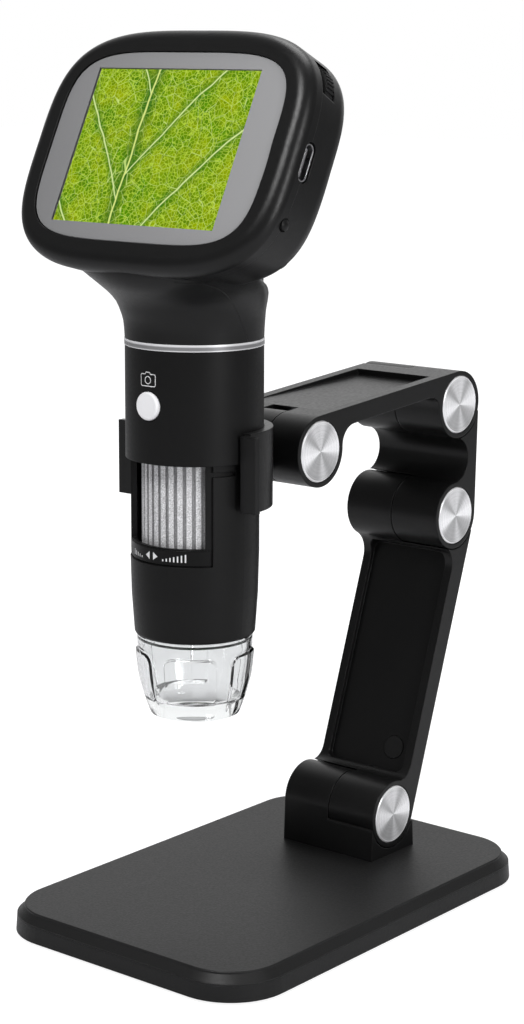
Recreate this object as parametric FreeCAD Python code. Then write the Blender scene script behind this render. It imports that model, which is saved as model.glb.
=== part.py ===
import FreeCAD, Part
import math
import os

# Frame: X to the right of the stand, Y to the back, Z up, origin under the middle of the base.

# Base
base_width = 81.0
base_depth = 122.0
base_corner = 15.5
base_lift = 0.5
seam_height = 4.4
base_height = 7.2
tray_draft = 0.3
shoulder_inset = 2.2
shoulder_step = 0.6
plastic_wall = 1.8
tray_floor = 1.2
foot_radius = 5.0
foot_sink = 0.5
foot_inset_x = 13.0
foot_inset_y = 25.0
weight_thickness = 2.4
weight_gap = 0.5
base_screw_inset_x = 11.5
base_screw_inset_y = 12.0
base_screw_length = 5.6
post_screw_length = 7.2

# Hinges of the arm
post_axis_y = 33.0
post_axis_z = 18.0
lower_length = 80.7
lower_lean = 18.9
middle_length = 29.8
middle_lean = 1.5
upper_length = 59.7
upper_drop = 4.5
half_width = 14.7
barrel_radius = 8.9
half_gap = 0.15
sweep_gap = 0.3
lower_plate = 5.3
middle_plate = 3.9
upper_plate = 4.6
fork_half = 4.1
fork_relief = 1.4
post_draft = 0.4
ledge_drop = 4.0

# Pins, nuts and caps of the hinges
pin_radius = 3.0
running_gap = 0.05
bolt_flats = 9.0
bolt_head_height = 2.8
nut_height = 3.2
washer_radius = 5.0
washer_thickness = 0.9
cap_radius = 7.6
cap_thickness = 1.2
cap_proud = 0.15
cap_chamfer = 0.35
face_gap = 0.1

# Clamp
clamp_reach = 30.0
clamp_height = 19.0
clamp_drop = 0.7
clamp_wall = 2.1
clamp_overlap = 1.6
clamp_play = 0.08
tab_reach = 21.5
tab_root = 17.0
tab_thickness = 1.8
knuckle_half = 3.8
neck_height = 13.0

# Microscope tube
tube_radius = 16.5
tube_wall = 1.6
shell_bottom = 121.0
ring_bottom = 147.8
ring_height = 1.6
sleeve_radius = 15.5
sleeve_bottom = 77.9
sleeve_bottom_radius = 14.6
sleeve_taper_start = 98.0
sleeve_wall = 1.7
spigot_height = 3.0
recess_floor = 14.75
recess_half_angle = 57.0
recess_bottom = 96.8
window_half_angle = 51.0
window_bottom = 101.0
window_top = 122.5
strip_thickness = 0.3

# Focus wheel and optics
wheel_radius = 12.7
wheel_bottom = 99.6
wheel_top = 122.2
rib_count = 36
rib_depth = 0.45
journal_radius = 10.6
journal_length = 2.0
collar_bottom = 124.4
collar_top = 126.6
lens_bore = 9.5
lens_barrel_bottom = 88.5
lens_barrel_length = 23.0
lens_radius = 6.4
board_thickness = 1.2
led_board_bottom = 80.2
led_circle = 9.6
led_count = 8

# Shutter button
button_radius = 3.35
button_drop = 13.1
button_proud = 0.6
button_flange = 4.1
button_travel = 0.8

# Clear cap
cap_wall = 1.3
cap_top_radius = 14.0
cap_tip_radius = 10.7
cap_tip_height = 57.8
panel_count = 5
panel_angle = 54.0
panel_middle = -54.0
panel_rise = 0.35

# Screen head, in its own frame: X right, Y up the face, Z out of the face
head_tilt = 26.3
head_forward = 13.2
head_height = 194.3
head_half_width = 39.7
head_half_height = 30.2
head_thickness = 19.0
head_power = 3.5
head_front_round = 3.6
head_back_round = 6.0
head_back_narrow = 0.8
head_back_lower = 1.3
head_back_rise = 2.0
head_wall = 1.8
split_depth = 5.8
window_margin_x = 6.4
window_margin_y = 6.7
window_power = 4.6
window_thickness = 1.0
window_sink = 0.3
window_gap = 0.15
lcd_width = 54.0
lcd_height = 41.0
lcd_thickness = 2.6
lcd_corner = 2.7
lcd_play = 0.3
lcd_shift = -0.9
board_width = 62.0
board_height = 45.0
board_depth = 7.6
battery_width = 42.0
battery_height = 32.0
battery_thickness = 5.2
battery_depth = 11.2
port_depth = 6.0
port_width = 8.9
port_height = 3.2
port_length = 7.2
dial_inset = 8.6
dial_y = 17.7
dial_radius = 6.5
dial_thickness = 2.6
dial_depth = 7.6
dial_teeth = 40
key_y = -14.8
key_radius = 1.3
head_screw_spread = 16.0
head_screw_drop = 5.3
head_screw_inset = 9.7
head_screw_low = -18.0
boss_radius = 2.6
screw_radius = 1.0


def lean_point(y, z, length, lean):
    """Point at a distance from (y, z), leaning back by a number of degrees."""
    a = math.radians(lean)
    return y + length * math.sin(a), z + length * math.cos(a)


h4 = (post_axis_y, post_axis_z)
h3 = lean_point(h4[0], h4[1], lower_length, lower_lean)
h2 = lean_point(h3[0], h3[1], middle_length, middle_lean)
h1 = lean_point(h2[0], h2[1], upper_length, -90.0 - upper_drop)
tube_y = h1[0] - clamp_reach
clamp_middle = h1[1] - clamp_drop
ring_top = ring_bottom + ring_height
button_height = ring_bottom - button_drop
tube_inner = tube_radius - tube_wall
neck_inner = tube_inner - 0.2
window_half_width = head_half_width - window_margin_x
window_half_height = head_half_height - window_margin_y
dial_x = head_half_width - dial_inset
screw_high = head_half_height - head_screw_drop
screw_side = head_half_width - head_screw_inset
head_screw_spots = [(-head_screw_spread, screw_high), (head_screw_spread, screw_high)]
head_screw_spots += [(-screw_side, head_screw_low), (screw_side, head_screw_low)]
beyond = 200.0


def vec(x, y, z):
    return FreeCAD.Vector(x, y, z)


def block(x0, x1, y0, y1, z0, z1):
    return Part.makeBox(x1 - x0, y1 - y0, z1 - z0, vec(x0, y0, z0))


def rod_x(y, z, radius, x0, x1):
    return Part.makeCylinder(radius, x1 - x0, vec(x0, y, z), vec(1, 0, 0))


def rod_y(x, z, radius, y0, y1):
    return Part.makeCylinder(radius, y1 - y0, vec(x, y0, z), vec(0, 1, 0))


def rod_z(x, y, radius, z0, z1):
    return Part.makeCylinder(radius, z1 - z0, vec(x, y, z0), vec(0, 0, 1))


def tube_z(radius, inner, z0, z1):
    return rod_z(0, tube_y, radius, z0, z1).cut(rod_z(0, tube_y, inner, z0 - 1, z1 + 1))


def prism_x(points, x0, x1):
    """Polygon in the YZ plane, run along X."""
    corners = [vec(x0, y, z) for y, z in points]
    face = Part.Face(Part.makePolygon(corners + corners[:1]))
    return face.extrude(vec(x1 - x0, 0, 0))


def hex_rod_x(y, z, flats, x0, x1):
    reach = flats / math.sqrt(3)
    turns = [math.radians(60 * i) for i in range(6)]
    return prism_x([(y + reach * math.cos(t), z + reach * math.sin(t)) for t in turns], x0, x1)


def fuse_all(shapes):
    return shapes[0].multiFuse(shapes[1:]).removeSplitter()


def join(shapes):
    """Fuse that leaves the seams of freely curved faces as they are."""
    return shapes[0].multiFuse(shapes[1:])


def spin(points, angle=360.0, start=0.0):
    """Profile of (radius, height) points turned about the tube's axis."""
    corners = [vec(r, 0, z) for r, z in points]
    face = Part.Face(Part.makePolygon(corners + corners[:1]))
    body = face.revolve(vec(0, 0, 0), vec(0, 0, 1), angle)
    body.rotate(vec(0, 0, 0), vec(0, 0, 1), start)
    body.translate(vec(0, tube_y, 0))
    return body


def sector(radius, half_angle, z0, z1):
    """Wedge of a disc about the tube's axis, centred on the front."""
    return spin([(0, z0), (radius, z0), (radius, z1), (0, z1)], 2 * half_angle, -90 - half_angle)


def rounded_wire(width, depth, corner, z):
    x = width / 2
    y = depth / 2
    s = math.sqrt(0.5)
    edges = []
    for sx, sy in ((1, 1), (-1, 1), (-1, -1), (1, -1)):
        cx = sx * (x - corner)
        cy = sy * (y - corner)
        side = vec(sx * x, cy, z)
        end = vec(cx, sy * y, z)
        mid = vec(cx + sx * corner * s, cy + sy * corner * s, z)
        first, last = (side, end) if sx * sy > 0 else (end, side)
        edges.append((first, mid, last))
    wire = []
    for i, (first, mid, last) in enumerate(edges):
        wire.append(Part.Arc(first, mid, last).toShape())
        wire.append(Part.makeLine(last, edges[(i + 1) % 4][0]))
    return Part.Wire(wire)


def rounded_plate(width, depth, corner, z0, z1):
    return Part.Face(rounded_wire(width, depth, corner, z0)).extrude(vec(0, 0, z1 - z0))


def rounded_taper(inset0, inset1, z0, z1):
    """Base outline drawn in by one inset at z0 and another at z1."""
    wires = []
    for inset, z in ((inset0, z0), (inset1, z1)):
        cut = 2 * inset
        wires.append(rounded_wire(base_width - cut, base_depth - cut, base_corner - inset, z))
    return Part.makeLoft(wires, True, True)


def corner_spots(x, y):
    return [(sx * x, sy * y) for sx in (-1, 1) for sy in (-1, 1)]


# Base

base_screw_x = base_width / 2 - base_screw_inset_x
base_screw_y = base_depth / 2 - base_screw_inset_y
weight_width = base_width - 2 * (plastic_wall + tray_draft + weight_gap)
weight_depth = base_depth - 2 * (plastic_wall + tray_draft + weight_gap)
weight_corner = base_corner - plastic_wall - tray_draft - weight_gap
tray_inside = base_lift + tray_floor
weight_top = tray_inside + weight_thickness
post_screw_spots = [(-half_width / 2, post_axis_y + side * 4.5) for side in (-1, 1)]
screw_boss = 3.2
screw_well_top = tray_inside + 1.3
well_radius = 3.0
well_wall = 1.2
cover_under = base_height - plastic_wall + 0.3


def base_tray():
    body = rounded_taper(0, tray_draft, base_lift, seam_height)
    cut = 2 * (plastic_wall + tray_draft)
    corner = base_corner - plastic_wall - tray_draft
    body = body.cut(rounded_plate(base_width - cut, base_depth - cut, corner, tray_inside, seam_height + 1))
    for x, y in corner_spots(base_screw_x, base_screw_y):
        body = body.fuse(rod_z(x, y, well_radius + well_wall, base_lift + 0.2, screw_well_top))
    for x, y in corner_spots(base_screw_x, base_screw_y):
        body = body.cut(rod_z(x, y, well_radius, base_lift - 1, screw_well_top - 1.0))
        body = body.cut(rod_z(x, y, 1.6, 0, screw_well_top + 1))
    for x, y in foot_spots():
        body = body.cut(rod_z(x, y, foot_radius + face_gap, 0, base_lift + foot_sink))
    return body


def foot_spots():
    return corner_spots(base_width / 2 - foot_inset_x, base_depth / 2 - foot_inset_y) + [(0, 0)]


def base_feet():
    feet = [rod_z(x, y, foot_radius, 0, base_lift + foot_sink) for x, y in foot_spots()]
    return Part.makeCompound([f.makeChamfer(0.2, [f.Edges[2]]) for f in feet])


def base_cover():
    low = rounded_taper(tray_draft, tray_draft, seam_height, seam_height + 0.3)
    step = base_height - shoulder_step
    slope = rounded_taper(tray_draft + 0.3, shoulder_inset, seam_height + 0.3, step)
    top = rounded_taper(shoulder_inset, shoulder_inset, step, base_height - 0.2)
    edge = rounded_taper(shoulder_inset, shoulder_inset + 0.2, base_height - 0.2, base_height)
    body = fuse_all([low, slope, top, edge])
    cut = 2 * (plastic_wall + tray_draft + 0.6)
    corner = base_corner - plastic_wall - tray_draft - 0.6
    body = body.cut(rounded_plate(base_width - cut, base_depth - cut, corner, seam_height - 1, cover_under))
    for x, y in corner_spots(base_screw_x, base_screw_y):
        body = body.fuse(rod_z(x, y, screw_boss, screw_well_top + face_gap, base_height - 1))
        body = body.cut(rod_z(x, y, 1.25, screw_well_top - 1, base_height - 1.2))
    for x, y in post_screw_spots:
        body = body.cut(rod_z(x, y, 2.1, seam_height - 1, base_height + 1))
    return body


def base_weight():
    body = rounded_plate(weight_width, weight_depth, weight_corner, tray_inside, weight_top)
    for x, y in corner_spots(base_screw_x, base_screw_y):
        body = body.cut(rod_z(x, y, well_radius + well_wall + 0.4, 0, base_height))
    for x, y in post_screw_spots:
        body = body.cut(rod_z(x, y, 4.4, 0, base_height))
    return body


def pan_screw(x, y, z, head, head_tall, shank, length):
    """Screw standing on its head at z, shank pointing up."""
    body = rod_z(x, y, head, z, z + head_tall).fuse(rod_z(x, y, shank, z + head_tall - 0.2, z + length))
    slot = block(x - 0.35, x + 0.35, y - head * 0.6, y + head * 0.6, z - 1, z + head_tall * 0.45)
    cross = block(x - head * 0.6, x + head * 0.6, y - 0.35, y + 0.35, z - 1, z + head_tall * 0.45)
    return body.cut(slot).cut(cross)


def base_screws():
    z = screw_well_top - 1.0 - 1.6
    spots = corner_spots(base_screw_x, base_screw_y)
    return Part.makeCompound([pan_screw(x, y, z, 2.7, 1.6, 1.2, base_screw_length) for x, y in spots])


def post_screws():
    z = cover_under - 2.0
    spots = post_screw_spots
    return Part.makeCompound([pan_screw(x, y, z, 3.6, 2.0, 2.0, post_screw_length) for x, y in spots])


# Hinge hardware, right half of a barrel at x > 0

seat_depth = cap_thickness - cap_proud
seat_floor = half_width - seat_depth
head_out = seat_floor - face_gap
head_in = head_out - bolt_head_height
nut_in = head_out - nut_height
washer_in = nut_in - washer_thickness
nut_pocket = washer_radius + sweep_gap


def cap_seat(hinge, side):
    x0, x1 = sorted((side * seat_floor, side * (half_width + 1)))
    return rod_x(hinge[0], hinge[1], cap_radius + face_gap, x0, x1)


def hinge_cap(hinge, side):
    """Turned disc with a raised-edge chamfer, seated in the end of a barrel."""
    x0, x1 = sorted((side * seat_floor, side * (half_width + cap_proud)))
    body = rod_x(hinge[0], hinge[1], cap_radius, x0, x1)
    outer = side * (half_width + cap_proud)
    rim = [e for e in body.Edges if len(e.Vertexes) == 1 and abs(e.CenterOfMass.x - outer) < 0.01]
    return body.makeChamfer(cap_chamfer, rim)


def head_pocket(hinge):
    pocket = hex_rod_x(hinge[0], hinge[1], bolt_flats + 2 * face_gap, -half_width, -head_in)
    return pocket.fuse(rod_x(hinge[0], hinge[1], pin_radius + 0.02, -half_width, 0))


def nut_side_pocket(hinge):
    pocket = rod_x(hinge[0], hinge[1], nut_pocket, washer_in - face_gap, half_width)
    return pocket.fuse(rod_x(hinge[0], hinge[1], pin_radius + running_gap, 0, half_width))


def hinge_pin(hinge):
    y, z = hinge
    head = hex_rod_x(y, z, bolt_flats, -head_out, -head_in)
    return head.fuse(rod_x(y, z, pin_radius, -head_in - 0.2, head_out)).removeSplitter()


def hinge_nut(hinge):
    y, z = hinge
    body = hex_rod_x(y, z, bolt_flats - 0.4, nut_in, head_out - face_gap)
    return body.cut(rod_x(y, z, pin_radius + 0.01, 0, half_width))


def hinge_washer(hinge):
    y, z = hinge
    body = rod_x(y, z, washer_radius, washer_in, nut_in)
    return body.cut(rod_x(y, z, pin_radius + 0.1, 0, half_width))


def left_half(hinge, radius):
    return rod_x(hinge[0], hinge[1], radius, -half_width - 1, half_gap)


def right_half(hinge, radius):
    return rod_x(hinge[0], hinge[1], radius, -half_gap, half_width + 1)


# Post

def post():
    y, z = h4
    foot = barrel_radius + post_draft
    outline = [
        (y - foot, base_height),
        (y + foot, base_height),
        (y + barrel_radius, z - ledge_drop),
        (y + barrel_radius - 1.0, z - ledge_drop),
        (y, z),
        (y - barrel_radius, z),
    ]
    body = prism_x(outline, -half_width, half_width)
    body = body.fuse(rod_x(y, z, barrel_radius, -half_width, half_width)).removeSplitter()
    body = body.cut(right_half(h4, barrel_radius + sweep_gap))
    body = body.cut(head_pocket(h4)).cut(cap_seat(h4, -1))
    for x, sy in post_screw_spots:
        body = body.cut(rod_z(x, sy, 2.03, base_height - 1, base_height + 4.0))
    return body


# Arm links, drawn with the inboard hinge at the origin and the link along +Z, plate to +Y

def fillet_centre(face, radius):
    """Height above a hinge of the fillet that joins its barrel to the plate's inner face."""
    return math.sqrt((barrel_radius + radius) ** 2 - (face - radius) ** 2)


def scoop_radius(length, face):
    """Radius of the one scoop that touches both barrels and the plate."""
    return (face ** 2 + length ** 2 / 4 - barrel_radius ** 2) / (2 * (barrel_radius + face))


def arc_about(centre, radius, a0, a1):
    pts = []
    for a in (a0, (a0 + a1) / 2, a1):
        t = math.radians(a)
        pts.append(vec(0, centre[0] + radius * math.cos(t), centre[1] + radius * math.sin(t)))
    return Part.Arc(pts[0], pts[1], pts[2]).toShape()


def link_body(length, plate, low_fillet, high_fillet):
    """Two barrels joined by a plate flush with their backs, with filleted inner corners."""
    r = barrel_radius
    face = r - plate
    low = (face - low_fillet, fillet_centre(face, low_fillet))
    high = (face - high_fillet, length - fillet_centre(face, high_fillet))
    low_turn = math.degrees(math.atan2(low[1], low[0]))
    high_turn = math.degrees(math.atan2(high[1] - length, high[0]))
    edges = [Part.makeLine(vec(0, r, 0), vec(0, r, length))]
    edges.append(arc_about((0, length), r, 0, high_turn + 360))
    edges.append(arc_about(high, high_fillet, high_turn + 180, 0))
    if high[1] - low[1] > 0.01:
        edges.append(Part.makeLine(vec(0, face, high[1]), vec(0, face, low[1])))
    edges.append(arc_about(low, low_fillet, 0, low_turn - 180))
    edges.append(arc_about((0, 0), r, low_turn, 360))
    face_shape = Part.Face(Part.Wire(Part.__sortEdges__(edges)))
    body = face_shape.extrude(vec(2 * half_width, 0, 0))
    body.translate(vec(-half_width, 0, 0))
    return body


def place_link(body, hinge, lean):
    """Lean a link back by a number of degrees and carry its origin to a hinge."""
    body.rotate(vec(0, 0, 0), vec(1, 0, 0), -lean)
    body.translate(vec(0, hinge[0], hinge[1]))
    return body


recess_depth = 1.3
recess_rim = 2.4
plug_radius = 3.0
plug_x = 7.3
plug_height = 17.0
lower_face = barrel_radius - lower_plate
recess_start = 10.6
recess_end = 9.7


def lower_arm():
    body = link_body(lower_length, lower_plate, 4.5, 6.0)
    x = half_width - recess_rim
    recess = block(-x, x, -barrel_radius, lower_face + recess_depth, recess_start, lower_length - recess_end)
    upright = [e for e in recess.Edges if abs(e.tangentAt(e.FirstParameter).y) > 0.99]
    body = body.cut(recess.makeFillet(2.0, upright))
    hole = rod_y(plug_x, plug_height, plug_radius + face_gap, 0, lower_face + recess_depth + 1.2)
    body = place_link(body.cut(hole), h4, lower_lean)
    body = body.cut(left_half(h4, barrel_radius + sweep_gap))
    body = body.cut(right_half(h3, barrel_radius + sweep_gap))
    body = body.cut(nut_side_pocket(h4)).cut(cap_seat(h4, 1))
    return body.cut(head_pocket(h3)).cut(cap_seat(h3, -1))


def lower_arm_plug():
    y0 = lower_face + recess_depth - 0.2
    body = rod_y(plug_x, plug_height, plug_radius, y0, lower_face + recess_depth + 1.2)
    return place_link(body, h4, lower_lean)


def middle_link():
    scoop = scoop_radius(middle_length, barrel_radius - middle_plate)
    body = place_link(link_body(middle_length, middle_plate, scoop, scoop), h3, middle_lean)
    body = body.cut(left_half(h3, barrel_radius + sweep_gap))
    body = body.cut(right_half(h2, barrel_radius + sweep_gap))
    body = body.cut(nut_side_pocket(h3)).cut(cap_seat(h3, 1))
    return body.cut(head_pocket(h2)).cut(cap_seat(h2, -1))


tray_recess_half = 11.7
tray_recess_back = 9.0
tray_recess_front = 54.0
tray_recess_deep = 1.6


def upper_arm():
    body = link_body(upper_length, upper_plate, 4.0, 5.0)
    x = tray_recess_half
    top = barrel_radius
    outline = [
        (top - tray_recess_deep, tray_recess_back),
        (top + 1, tray_recess_back),
        (top + 1, tray_recess_front),
        (top - 0.02, tray_recess_front),
    ]
    body = body.cut(prism_x(outline, -x, x))
    body = place_link(body, h2, -90.0 - upper_drop)
    relief = rod_x(h1[0], h1[1], barrel_radius + fork_relief, -fork_half, fork_half)
    body = body.cut(relief)
    body = body.cut(left_half(h2, barrel_radius + sweep_gap))
    body = body.cut(nut_side_pocket(h2)).cut(cap_seat(h2, 1))
    body = body.cut(head_pocket(h1)).cut(nut_side_pocket(h1))
    return body.cut(cap_seat(h1, 1)).cut(cap_seat(h1, -1))


# Clamp

clamp_inner = tube_radius + clamp_play
clamp_outer = clamp_inner + clamp_wall
clamp_low = clamp_middle - clamp_height / 2
clamp_high = clamp_middle + clamp_height / 2


def clamp_bracket():
    ring = tube_z(clamp_outer, clamp_inner, clamp_low, clamp_high)
    front = tube_y - clamp_overlap
    ring = ring.cut(block(-beyond, beyond, front - beyond, front, clamp_low - 1, clamp_high + 1))
    knuckle = rod_x(h1[0], h1[1], barrel_radius, -knuckle_half, knuckle_half)
    y0 = tube_y + clamp_inner + 0.5
    z0 = h1[1] - neck_height / 2
    neck = block(-knuckle_half, knuckle_half, y0, h1[0], z0, z0 + neck_height)
    pieces = [ring, knuckle, neck]
    for x0, x1 in ((tab_root, tab_reach), (-tab_reach, -tab_root)):
        pieces.append(block(x0, x1, front - tab_thickness, front, clamp_low + 0.5, clamp_high - 0.5))
    body = fuse_all(pieces)
    body = body.cut(rod_x(h1[0], h1[1], pin_radius + running_gap, -knuckle_half - 1, knuckle_half + 1))
    return body.cut(rod_z(0, tube_y, clamp_inner, clamp_low - 1, clamp_high + 1))


# Microscope tube

def upper_tube():
    body = tube_z(tube_radius, tube_inner, shell_bottom, ring_bottom)
    body = body.fuse(tube_z(tube_inner + 0.4, journal_radius + running_gap, collar_bottom, collar_top))
    body = body.removeSplitter()
    hole = rod_y(0, button_height, button_radius + 0.15, tube_y - 2 * tube_radius, tube_y)
    flat = rod_y(0, button_height, button_flange + 0.2, tube_y - tube_inner - 0.25, tube_y)
    return body.cut(hole).cut(flat)


def trim_ring():
    return tube_z(tube_radius + 0.1, tube_inner, ring_bottom, ring_top)


def shutter_button():
    y_front = tube_y - tube_radius - button_proud
    y_back = tube_y - tube_inner + 1.9
    stem = rod_y(0, button_height, button_radius, y_front, y_back)
    rim = [e for e in stem.Edges if len(e.Vertexes) == 1 and abs(e.CenterOfMass.y - y_front) < 0.01]
    stem = stem.makeFillet(0.5, rim)
    flange = rod_y(0, button_height, button_flange, y_back - 0.7, y_back)
    return stem.fuse(flange).removeSplitter()


switch_front = tube_y - tube_inner + 1.9 + button_travel + 0.1
switch_body = 3.0
switch_half = 3.0
board_half = 6.4


def shutter_board():
    z = button_height
    y0 = switch_front + switch_body
    half = math.sqrt(tube_inner ** 2 - (tube_y - y0) ** 2) - 0.05
    board = block(-half, half, y0, y0 + board_thickness, z - board_half, z + board_half)
    switch = block(-switch_half, switch_half, switch_front + 0.6, y0 + 0.1, z - switch_half, z + switch_half)
    plunger = rod_y(0, z, 1.2, switch_front, switch_front + 1)
    return fuse_all([board, switch, plunger])


def sensor_board():
    board = rod_z(0, tube_y, tube_inner - 0.1, collar_top, collar_top + board_thickness)
    chip = block(-4.5, 4.5, tube_y - 4.5, tube_y + 4.5, collar_top - 1.4, collar_top + 0.1)
    return board.fuse(chip).removeSplitter()


def lower_sleeve():
    r = sleeve_radius
    w = sleeve_wall
    low = sleeve_bottom
    inner_low = sleeve_bottom_radius - w
    spigot = tube_inner - 0.05
    profile = [
        (inner_low, low),
        (sleeve_bottom_radius - 0.3, low),
        (sleeve_bottom_radius, low + 0.5),
        (r - 0.25, low + 10),
        (r, sleeve_taper_start),
        (r, shell_bottom),
        (spigot, shell_bottom),
        (spigot, shell_bottom + spigot_height),
        (r - w, shell_bottom + spigot_height),
        (r - w, sleeve_taper_start),
        (inner_low + 0.4, low + 10),
        (inner_low, led_board_bottom + board_thickness + 1.2),
    ]
    body = spin(profile)
    shelf = led_board_bottom + board_thickness
    body = body.fuse(tube_z(inner_low + 0.3, lens_bore + 2.0, shelf, shelf + 1.2))
    ring_z = wheel_bottom - journal_length
    body = body.fuse(tube_z(r - w + 0.2, journal_radius + running_gap, ring_z, wheel_bottom - sweep_gap))
    body = body.removeSplitter()
    recess = sector(2 * tube_radius, recess_half_angle, recess_bottom, shell_bottom + 0.01)
    recess = recess.cut(rod_z(0, tube_y, recess_floor, 0, beyond))
    body = body.cut(recess)
    opening = sector(2 * tube_radius, window_half_angle, window_bottom, window_top)
    opening = opening.cut(rod_z(0, tube_y, journal_radius + 1.6, 0, beyond))
    body = body.cut(opening)
    slot = sector(2 * tube_radius, 13.0, clamp_middle - 0.6, clamp_middle + 0.6)
    slot = slot.cut(rod_z(0, tube_y, r - 0.8, 0, beyond))
    slot.rotate(vec(0, tube_y, 0), vec(0, 0, 1), window_half_angle + 15)
    return body.cut(slot)


def scale_strip():
    z0 = recess_bottom + 0.3
    z1 = window_bottom - 0.3
    ring = tube_z(recess_floor + strip_thickness, recess_floor, z0, z1)
    return ring.common(sector(2 * tube_radius, recess_half_angle - 1.5, z0 - 1, z1 + 1))


def focus_wheel():
    body = tube_z(wheel_radius, lens_bore, wheel_bottom, wheel_top)
    body = body.fuse(tube_z(journal_radius, lens_bore, wheel_bottom - journal_length, collar_top - 0.5))
    body = body.removeSplitter()
    pitch = 360.0 / rib_count
    groove_width = 2 * math.pi * wheel_radius / rib_count * 0.42
    grooves = []
    for i in range(rib_count):
        groove = block(
            wheel_radius - rib_depth, wheel_radius + 1,
            -groove_width / 2, groove_width / 2,
            wheel_bottom - 1, wheel_top + 1,
        )
        groove.rotate(vec(0, 0, 0), vec(0, 0, 1), i * pitch)
        groove.translate(vec(0, tube_y, 0))
        grooves.append(groove)
    return body.cut(Part.makeCompound(grooves))


def lens_barrel():
    outer = lens_bore - 0.08
    z0 = lens_barrel_bottom
    z1 = z0 + lens_barrel_length
    body = tube_z(outer, lens_radius + 0.6, z0, z1)
    for z in (z0 + 2.0, z1 - 6.0):
        body = body.fuse(tube_z(lens_radius + 1.0, lens_radius - 0.8, z, z + 1.0))
    return body.removeSplitter()


def lens_glass():
    lenses = []
    for z in (lens_barrel_bottom + 3.0, lens_barrel_bottom + lens_barrel_length - 5.0):
        disc = rod_z(0, tube_y, lens_radius + 0.55, z, z + 2.6)
        dome = Part.makeSphere(14.0, vec(0, tube_y, z + 2.6 - 14.0))
        lenses.append(disc.common(dome))
    return Part.makeCompound(lenses)


def led_board():
    z = led_board_bottom
    return tube_z(sleeve_bottom_radius - sleeve_wall - 0.1, lens_radius, z, z + board_thickness)


def led_lamps():
    lamps = []
    for i in range(led_count):
        lamp = block(led_circle - 1.1, led_circle + 1.1, -1.4, 1.4, led_board_bottom - 0.9, led_board_bottom)
        lamp.rotate(vec(0, 0, 0), vec(0, 0, 1), i * 360.0 / led_count)
        lamp.translate(vec(0, tube_y, 0))
        lamps.append(lamp)
    return Part.makeCompound(lamps)


def clear_cap():
    top = sleeve_bottom - face_gap
    tip = cap_tip_height
    drop = top - tip
    outer = [(cap_top_radius, top), (cap_top_radius - 0.2, top - 0.22 * drop)]
    outer.append((cap_top_radius - 1.1, top - 0.5 * drop))
    outer.append((cap_tip_radius + 0.35, tip + 0.8))
    outer.append((cap_tip_radius, tip))
    inner = [(cap_tip_radius - 2.4, tip), (cap_tip_radius - 2.4, tip + 1.3)]
    inner.append((cap_tip_radius - cap_wall + 0.1, tip + 1.6))
    inner += [(cap_top_radius - 1.1 - cap_wall, top - 0.5 * drop)]
    inner += [(cap_top_radius - 0.2 - cap_wall, top - 0.22 * drop), (cap_top_radius - cap_wall, top)]
    body = spin(outer + inner)
    spigot = sleeve_bottom_radius - sleeve_wall - 0.05
    body = body.fuse(tube_z(spigot, spigot - 1.1, top - 1.0, top + 1.2)).removeSplitter()
    high = top - 0.3 * drop
    low = top - 0.66 * drop
    slope = 1.35 / (0.36 * drop)
    for i in range(panel_count):
        r1 = cap_top_radius - 0.45
        r0 = r1 - slope * (high - low)
        pad = [(r0 - 1, low), (r0 + panel_rise, low), (r1 + panel_rise, high), (r1 - 1, high)]
        turn = panel_middle - panel_angle / 2 + i * 360.0 / panel_count
        body = body.fuse(spin(pad, panel_angle, turn))
    return body.removeSplitter()


# Screen head, built in its own frame

def squircle_wire(half_w, half_h, power, z):
    """Closed smooth curve with slightly bowed sides and soft corners."""
    points = []
    for i in range(48):
        t = 2 * math.pi * i / 48
        c = math.cos(t)
        s = math.sin(t)
        x = half_w * math.copysign(abs(c) ** (2 / power), c)
        y = half_h * math.copysign(abs(s) ** (2 / power), s)
        points.append(vec(x, y, z))
    curve = Part.BSplineCurve()
    curve.interpolate(Points=points, PeriodicFlag=True)
    return Part.Wire(curve.toShape())


def squircle_plate(half_w, half_h, power, z0, z1):
    return Part.Face(squircle_wire(half_w, half_h, power, z0)).extrude(vec(0, 0, z1 - z0))


def to_head(body):
    """Carry a shape from the head's own frame to its place on the microscope."""
    body.rotate(vec(0, 0, 0), vec(1, 0, 0), 90 - head_tilt)
    body.translate(vec(0, tube_y - head_forward, head_height))
    return body


def head_point(y, z):
    """YZ place on the stand of a point at height y on the face and z out of it."""
    t = math.radians(head_tilt)
    return (
        tube_y - head_forward + y * math.sin(t) - z * math.cos(t),
        head_height + y * math.cos(t) + z * math.sin(t),
    )


def head_solid(inset, front, back):
    """Head without its rounded edges: straight at the front, narrowing and rising to the back."""
    half_w = head_half_width - inset
    half_h = head_half_height - inset
    share = (head_front_round + back) / (head_front_round - head_thickness)
    near = squircle_wire(half_w, half_h, head_power, -head_front_round)
    far_w = half_w - share * head_back_narrow
    far_h = half_h - share * head_back_lower
    far = squircle_wire(far_w, far_h, head_power, back)
    far.translate(vec(0, share * head_back_rise, 0))
    rear = Part.makeLoft([near, far], True, True)
    last = [e for e in rear.Edges if e.CenterOfMass.z < back + 0.01]
    rear = rear.makeFillet(head_back_round - inset, last)
    ahead = squircle_plate(half_w, half_h, head_power, -head_front_round, front)
    return ahead, rear


def head_block():
    ahead, rear = head_solid(0, 0, -head_thickness)
    first = [e for e in ahead.Edges if e.CenterOfMass.z > -0.01]
    return ahead.makeFillet(head_front_round - 0.05, first).fuse(rear)


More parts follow.
